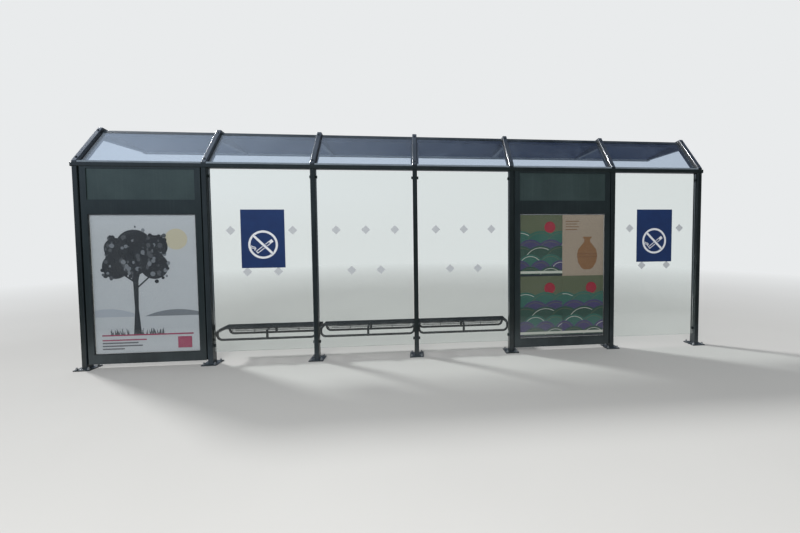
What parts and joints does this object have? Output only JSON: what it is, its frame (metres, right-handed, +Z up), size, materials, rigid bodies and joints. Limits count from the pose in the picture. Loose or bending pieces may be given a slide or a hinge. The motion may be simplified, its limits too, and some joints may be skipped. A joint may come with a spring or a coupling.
{
  "type": "bus shelter",
  "caption": "Glazed bus shelter: posts carry a glass back wall, poster cases, tube-framed benches and a bent roof that reaches out over the waiting side.",
  "frame": {"origin": "middle of the underside of the middle post's foot plate, at ground level", "axes": "+X along the wall, +Y out over the waiting side, +Z up"},
  "size_m": [8.22, 1.34, 3.025],
  "materials": {
    "green_paint": "satin powder coat, black-green",
    "header_paint": "satin powder coat, grey-green",
    "zinc": "zinc-grey folded steel",
    "wall_glass": "clear toughened glass",
    "roof_glass": "clear toughened glass, dusty",
    "roof_sheet": "slate-blue coated sheet",
    "case_glass": "clear glass",
    "board_white": "white laminate board",
    "poster_paper": "printed paper behind glass",
    "sign_film": "dark blue printed panel",
    "bench_steel": "black-green powder coat"
  },
  "bodies": {
    "root": {"post_1": "green_paint", "post_2": "green_paint", "post_3": "green_paint", "post_4": "green_paint", "post_5": "green_paint", "post_6": "green_paint", "post_7": "green_paint", "roof_frame_1": "green_paint", "roof_frame_2": "green_paint", "roof_frame_3": "green_paint", "roof_frame_4": "green_paint", "roof_frame_5": "green_paint", "roof_frame_6": "green_paint", "roof_frame_7": "green_paint", "eave_beam": "green_paint", "ridge_purlin": "green_paint", "front_gutter": "green_paint", "left_case_frame": "green_paint", "right_case_frame": "green_paint", "eave_gutter": "green_paint", "ridge_flashing": "green_paint", "glass_clamps": "green_paint", "left_case_header": "header_paint", "right_case_header": "header_paint", "glazing_ledges": "zinc", "wall_glass_1": "wall_glass", "wall_glass_2": "wall_glass", "wall_glass_3": "wall_glass", "wall_glass_4": "wall_glass", "roof_glass": "roof_glass", "roof_deck": "roof_sheet", "left_case_glass": "case_glass", "right_case_glass": "case_glass", "left_case_board": "board_white", "right_case_board": "board_white", "left_case_posters": "poster_paper", "right_case_posters": "poster_paper", "left_sign": "sign_film", "right_sign": "sign_film", "bench_frame_1": "bench_steel", "bench_frame_2": "bench_steel", "bench_frame_3": "bench_steel", "bench_seat_1": "bench_steel", "bench_seat_2": "bench_steel", "bench_seat_3": "bench_steel"}
  },
  "joints": []
}
